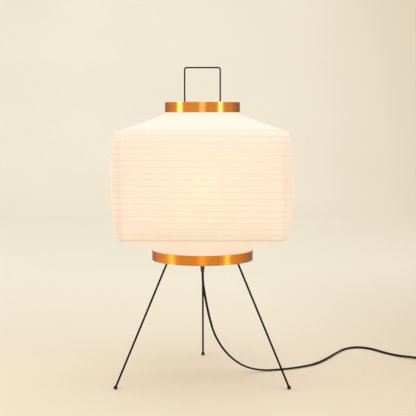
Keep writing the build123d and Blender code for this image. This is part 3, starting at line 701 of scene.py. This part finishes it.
def make_frame_copies():
    """The rib and the edge hoops as pieces of their own on the lantern's body, in place of their CAD nodes.
    """
    copies = []
    for name in ("bamboo_rib", "edge_hoop_top", "edge_hoop_bottom"):
        piece = bpy.data.objects.new(name + "_strip", nodes[name].data.copy())
        scene.collection.objects.link(piece)
        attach(piece, "lantern")
        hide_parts(name)
        copies.append(piece)
    return copies


def fold_with_shade(*pieces):
    """Give each piece a mesh of its own."""
    for piece in pieces:
        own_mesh(piece)


# Materials

def rib_shadow(tree, turn, height, place):
    """1 along the rib that winds down inside the wall, wavering a little, 0 away from it."""
    drop = math_node(tree, "SUBTRACT", WALL_HIGH - RIB_TOP_DROP, height)
    fallen = math_node(tree, "DIVIDE", drop, RIB_PITCH)
    waver = math_node(tree, "SUBTRACT", noise(tree, place, scale=12.0, detail=2.0), 0.5)
    phase = math_node(tree, "MULTIPLY_ADD", waver, RIB_WOBBLE, math_node(tree, "SUBTRACT", fallen, turn))
    near = math_node(tree, "ABSOLUTE", math_node(tree, "SUBTRACT", phase, math_node(tree, "ROUND", phase)))
    line = inverse(tree, faded(tree, near, RIB_LINE_CORE, RIB_LINE_EDGE))
    begun = math_node(tree, "GREATER_THAN", phase, -RIB_LINE_EDGE)
    going_on = math_node(tree, "GREATER_THAN", height, WALL_LOW + RIB_PITCH / 3)
    return math_node(tree, "MULTIPLY", line, math_node(tree, "MULTIPLY", begun, going_on))


def edge_shadow(tree, height, edge):
    """1 on the fold at one of the wall's edges, 0 away from it."""
    away = math_node(tree, "ABSOLUTE", math_node(tree, "SUBTRACT", height, edge))
    return inverse(tree, faded(tree, away, 0.0, FOLD_HALF))


def side_share(tree, turn):
    """How far along its side a place is, from -0.5 over 0 in the middle to 0.5."""
    quarter = math_node(tree, "MULTIPLY", turn, float(len(SIDE_NAMES)))
    return math_node(tree, "SUBTRACT", quarter, math_node(tree, "ROUND", quarter))


def bulb_glow(tree, aside, height):
    """1 on each side where it is nearest to the bulb, falling off round that place."""
    across = math_node(tree, "MULTIPLY", aside, 2 * SHADE_HALF)
    up = math_node(tree, "SUBTRACT", height, GLOW_HEIGHT)
    up_squared = math_node(tree, "MULTIPLY", up, up)
    away = math_node(tree, "SQRT", math_node(tree, "MULTIPLY_ADD", across, across, up_squared))
    spot = inverse(tree, faded(tree, away, 0.0, GLOW_SPOT))
    haze = inverse(tree, faded(tree, away, 0.0, GLOW_HAZE))
    haze = math_node(tree, "MULTIPLY", haze, GLOW_HAZE_SHARE)
    return math_node(tree, "MULTIPLY_ADD", spot, 1 - GLOW_HAZE_SHARE, haze)


def paper_light(tree, aside, height, upper, under):
    """The light that comes through the paper, before its fibres and the shadows of its frame."""
    light = mixed(tree, bulb_glow(tree, aside, height), PAPER_LIGHT, PAPER_GLOW)
    in_wall = inverse(tree, math_node(tree, "MAXIMUM", upper, under))
    cornered = faded(tree, math_node(tree, "ABSOLUTE", aside), *CORNER_FADE)
    light = mixed(tree, math_node(tree, "MULTIPLY", cornered, in_wall), light, PAPER_CORNER_LIGHT)
    paled = faded(tree, height, WALL_HIGH - UPPER_FADE, WALL_HIGH)
    paled = math_node(tree, "MULTIPLY", paled, UPPER_FADE_SHARE)
    rolled = faded(tree, height, WALL_HIGH - RIB_PITCH, WALL_HIGH - RIB_PITCH + FOLD_FADE)
    paled = math_node(tree, "MAXIMUM", paled, math_node(tree, "MULTIPLY", rolled, ROLL_SHARE))
    light = mixed(tree, math_node(tree, "MAXIMUM", upper, paled), light, PAPER_UPPER_LIGHT)
    return mixed(tree, under, light, PAPER_UNDER_LIGHT)


def paper_material():
    """Thin fibrous paper lit from inside: a painted soft glow round the bulb, painted shadows of rib and
    hoops, and a shoulder painted paler by the light from above.
    """
    material, tree, shader = new_material("lit_paper")
    turn, height = split_axes(tree, node(tree, "ShaderNodeUVMap", uv_map="turn_and_height").outputs["UV"])
    place = object_space(tree)
    aside = side_share(tree, turn)
    upper = faded(tree, height, WALL_HIGH - FOLD_FADE, WALL_HIGH + FOLD_FADE)
    under = faded(tree, height, WALL_LOW, WALL_LOW - FOLD_FADE)

    # Painted shadow of the rib and of the folds at the wall's edges, laid on both the sheet's colour and the
    # light through it.
    shadow = math_node(tree, "MULTIPLY", rib_shadow(tree, turn, height, place), RIB_SHADOW_DEPTH)
    for edge, depth in ((WALL_LOW, LOW_FOLD_SHADOW_DEPTH), (WALL_HIGH, TOP_FOLD_SHADOW_DEPTH)):
        fold = math_node(tree, "MULTIPLY", edge_shadow(tree, height, edge), depth)
        shadow = math_node(tree, "MAXIMUM", shadow, fold)

    fibres = noise(tree, place, scale=260.0, detail=6.0, roughness=0.62, stretch=(1.0, 1.0, 0.45))
    clouds = math_node(tree, "MULTIPLY", noise(tree, place, scale=22.0), 1 - FIBRE_SHARE)
    mottled = math_node(tree, "MULTIPLY_ADD", fibres, FIBRE_SHARE, clouds)
    # The shoulder's sheet is painted paler, as if lit from above.
    sheet = mixed(tree, upper, toned(tree, mottled, SHEET_DARK, SHEET_LIGHT), SHEET_TOP_LIT)
    colour_by(tree, shader, mixed(tree, shadow, sheet, SHEET_SHADED))

    light = paper_light(tree, aside, height, upper, under)
    light = mixed(tree, math_node(tree, "MULTIPLY", mottled, PAPER_MOTTLE), light, (0.0, 0.0, 0.0))
    wire(tree, mixed(tree, shadow, light, PAPER_SHADED_LIGHT), shader.inputs["Emission Color"])
    settle(shader, Emission_Strength=1.0, Roughness=0.85, Specular_IOR_Level=0.1)
    bump(tree, shader, mottled, strength=0.25, distance=0.0004)
    return material


def copper_material(name, seam_heading):
    """Lacquered copper-coloured sheet, brushed round the band, with the upright seam of its lap."""
    material, tree, shader = new_material(name)
    place = object_space(tree)
    brushed = noise(tree, place, scale=60.0, detail=4.0, roughness=0.6, stretch=(0.4, 0.4, 14.0))
    colour = toned(tree, noise(tree, place, scale=14.0, detail=2.0), COPPER_DARK, COPPER_LIGHT)
    x, y = split_axes(tree, place)
    heading = math_node(tree, "ARCTAN2", x, math_node(tree, "MULTIPLY", y, -1.0))
    off_seam = math_node(tree, "ABSOLUTE", math_node(tree, "SUBTRACT", heading, seam_heading))
    seam = inverse(tree, faded(tree, off_seam, SEAM_HALF / 2, SEAM_HALF))
    colour_by(tree, shader, mixed(tree, seam, colour, COPPER_SEAM))
    roughen(tree, shader, brushed, least=0.22, spread=0.12)
    round_band = node(tree, "ShaderNodeTangent", direction_type="RADIAL", axis="Z")
    wire(tree, round_band.outputs["Tangent"], shader.inputs["Tangent"])
    settle(shader, Metallic=1.0, Anisotropic=0.85, Anisotropic_Rotation=0.25)
    settle(shader, Specular_Tint=(*COPPER_EDGE_TINT, 1.0))
    settle(shader, Coat_Weight=0.55, Coat_Roughness=0.16, Coat_IOR=1.65)
    bump(tree, shader, brushed, strength=0.05, distance=0.0003)
    return material


def lacquer_material():
    """Near-black lacquer on wire, with faint drawn streaks."""
    material, tree, shader = new_material("black_lacquer")
    streaks = noise(tree, object_space(tree), scale=300.0, stretch=(1.0, 1.0, 0.1))
    colour_by(tree, shader, toned(tree, streaks, (0.004, 0.003, 0.002), (0.012, 0.008, 0.006), high=0.75))
    roughen(tree, shader, streaks, least=0.42, spread=0.2)
    settle(shader, Specular_IOR_Level=0.06)
    bump(tree, shader, streaks, strength=0.08, distance=0.0002)
    return material


def moulded_material(name, dark, light, roughness, shine=0.5):
    """Moulded plastic with a fine grain."""
    material, tree, shader = new_material(name)
    grains = noise(tree, object_space(tree), scale=900.0, roughness=0.6)
    colour_by(tree, shader, toned(tree, grains, dark, light, low=0.35))
    roughen(tree, shader, grains, least=roughness, spread=0.15)
    settle(shader, Specular_IOR_Level=shine)
    bump(tree, shader, grains, strength=0.12, distance=0.0002)
    return material


def metal_material(name, dark, light, roughness):
    """Bare or plated metal with light scratches."""
    material, tree, shader = new_material(name)
    place = object_space(tree)
    scratches = noise(tree, place, scale=240.0, detail=5.0, roughness=0.65, stretch=(1.0, 1.0, 5.0))
    colour_by(tree, shader, toned(tree, scratches, dark, light))
    roughen(tree, shader, scratches, least=roughness, spread=0.2)
    settle(shader, Metallic=1.0)
    bump(tree, shader, scratches, strength=0.05, distance=0.0002)
    return material


def wood_material(name, dark, light, stretch):
    """Pale wood or bamboo with grain along one way."""
    material, tree, shader = new_material(name)
    grain = noise(tree, object_space(tree), scale=90.0, detail=5.0, roughness=0.6, stretch=stretch)
    colour_by(tree, shader, toned(tree, grain, dark, light))
    roughen(tree, shader, grain, least=0.45, spread=0.2)
    bump(tree, shader, grain, strength=0.2, distance=0.0003)
    return material


def bulb_material():
    """Frosted glass, lit from within."""
    material, tree, shader = new_material("lit_bulb")
    frost = noise(tree, object_space(tree), scale=500.0)
    colour_by(tree, shader, toned(tree, frost, (0.92, 0.88, 0.78), (1.0, 0.97, 0.9)))
    light = toned(tree, frost, (1.0, 0.78, 0.48), (1.0, 0.84, 0.58))
    wire(tree, light, shader.inputs["Emission Color"])
    settle(shader, Emission_Strength=1.6, Roughness=0.4)
    return material


def soften_edges():
    """Small rounded edges on the hard-edged pieces."""
    for names, width in SOFT_EDGES:
        for name in names:
            rounding = nodes[name].modifiers.new("soft_edge", "BEVEL")
            rounding.width = width
            rounding.segments = SOFT_EDGE_SEGMENTS
            rounding.limit_method = "ANGLE"
            rounding.angle_limit = SOFT_EDGE_ANGLE


def dress_lantern():
    """Materials of the shade, the bands and what holds them."""
    dress(paper_material(), "paper_shade")
    dress(copper_material("top_copper", TOP_SEAM), "top_band")
    dress(copper_material("bottom_copper", BOTTOM_SEAM), "bottom_band")
    dress(wood_material("hoop_wood", (0.42, 0.27, 0.13), (0.62, 0.44, 0.24), (0.3, 0.3, 8.0)),
          "top_hoop", "bottom_hoop")
    dress(wood_material("bamboo", (0.50, 0.34, 0.17), (0.70, 0.53, 0.30), (0.4, 0.4, 6.0)),
          "bamboo_rib_strip", "edge_hoop_top_strip", "edge_hoop_bottom_strip")


def dress_rest():
    """Materials of the stand, the holder, the bulb and the cord with its fittings."""
    dress(lacquer_material(), "stretcher_wire", "leg_left", "leg_right", "leg_back", "stand_plate",
          "leg_sockets", "top_yoke", "stem_sleeve")
    dress(moulded_material("black_balls", (0.006, 0.005, 0.004), (0.014, 0.012, 0.010), 0.25, shine=0.15),
          "foot_left", "foot_right", "foot_back")
    dress(moulded_material("cord_sheath", (0.004, 0.003, 0.003), (0.012, 0.010, 0.009), 0.45, shine=0.12),
          "flat_cord", "flat_cord_coil")
    dress(moulded_material("switch_case", (0.014, 0.013, 0.012), (0.026, 0.024, 0.022), 0.3),
          "switch_bottom", "switch_top", "switch_rocker", "plug_body", "coil_tie",
          "switch_relief_in", "switch_relief_out", "plug_relief")
    dress(moulded_material("holder_phenolic", (0.02, 0.018, 0.016), (0.04, 0.036, 0.032), 0.35),
          "holder_base", "holder_body", "cord_gland", "grip_bushes")
    dress(moulded_material("porcelain", (0.82, 0.80, 0.76), (0.90, 0.89, 0.86), 0.25),
          "contact_block", "bulb_insulator", "filament_stem")
    dress(metal_material("zinc", (0.48, 0.48, 0.5), (0.66, 0.66, 0.68), 0.3),
          "socket_screws", "threaded_tube", "tube_nut", "yoke_rivets", "switch_screws", "rocker_pin",
          "bulb_cap")
    dress(metal_material("brass", (0.62, 0.43, 0.17), (0.78, 0.58, 0.27), 0.25),
          "thread_shell", "centre_contact", "plug_blades", "bulb_contact")
    dress(bulb_material(), "bulb_glass", "filaments")


# The stage

def cream_material():
    """A pale matt cream with painted shade that darkens it a little towards the right and towards the front.
    """
    material, tree, shader = new_material("cream_backdrop")
    place = object_space(tree)
    x, y = split_axes(tree, place)
    cream = toned(tree, noise(tree, place, scale=1.2, detail=2.0), CREAM_DARK, CREAM_LIGHT)
    # Painted shade: darker towards the right and towards the front
    cream = mixed(tree, faded(tree, x, *RIGHT_FADE), cream, SHADED_CREAM_RIGHT)
    near = faded(tree, y, *NEAR_FADE)
    near_right_shade = math_node(tree, "MULTIPLY", near, faded(tree, x, *NEAR_RIGHT_FADE))
    cream = mixed(tree, near, cream, SHADED_CREAM_NEAR)
    colour_by(tree, shader, mixed(tree, near_right_shade, cream, SHADED_CREAM_NEAR_RIGHT))
    settle(shader, Roughness=0.9, Specular_IOR_Level=0.1)
    return material


def make_stage():
    """A pale seamless sweep: a floor that curves up into a wall."""
    profile = [(STAGE_FRONT, 0.0), (STAGE_BACK - STAGE_BEND, 0.0)]
    for step in range(1, STAGE_STEPS + 1):
        angle = math.pi / 2 * step / STAGE_STEPS
        rise = STAGE_BEND - STAGE_BEND * math.cos(angle)
        profile.append((STAGE_BACK - STAGE_BEND + STAGE_BEND * math.sin(angle), rise))
    profile.append((STAGE_BACK, STAGE_HEIGHT))
    points = []
    for y, z in profile:
        points += [(-STAGE_HALF, y, z), (STAGE_HALF, y, z)]
    faces = [(2 * n, 2 * n + 1, 2 * n + 3, 2 * n + 2) for n in range(len(profile) - 1)]
    sweep = new_mesh("stage_sweep", points, faces)
    sweep.data.materials.append(cream_material())


def make_lamp(name, place, aim, size, watts, colour):
    """A soft rectangular lamp that points at its aim."""
    data = bpy.data.lights.new(name, "AREA")
    data.shape = "RECTANGLE"
    data.size, data.size_y = size
    data.energy = watts
    data.color = colour
    lamp = bpy.data.objects.new(name, data)
    lamp.location = place
    lamp.rotation_euler = (Vector(aim) - Vector(place)).to_track_quat("-Z", "Y").to_euler()
    scene.collection.objects.link(lamp)


def make_lights():
    """An even soft world with tall lamps on both sides, one in front, one above and one for the wall."""
    world = bpy.data.worlds.new("soft_world")
    world.use_nodes = True
    background = world.node_tree.nodes["Background"]
    background.inputs["Color"].default_value = (*WORLD_COLOUR, 1.0)
    background.inputs["Strength"].default_value = WORLD_STRENGTH
    scene.world = world
    for lamp in LAMPS:
        make_lamp(*lamp)


scene.view_settings.view_transform = "Standard"
make_camera()
make_cords()
shade = make_shade()
frame_copies = make_frame_copies()
fold_with_shade(shade, *frame_copies)
dress_lantern()
dress_rest()
soften_edges()
make_stage()
make_lights()
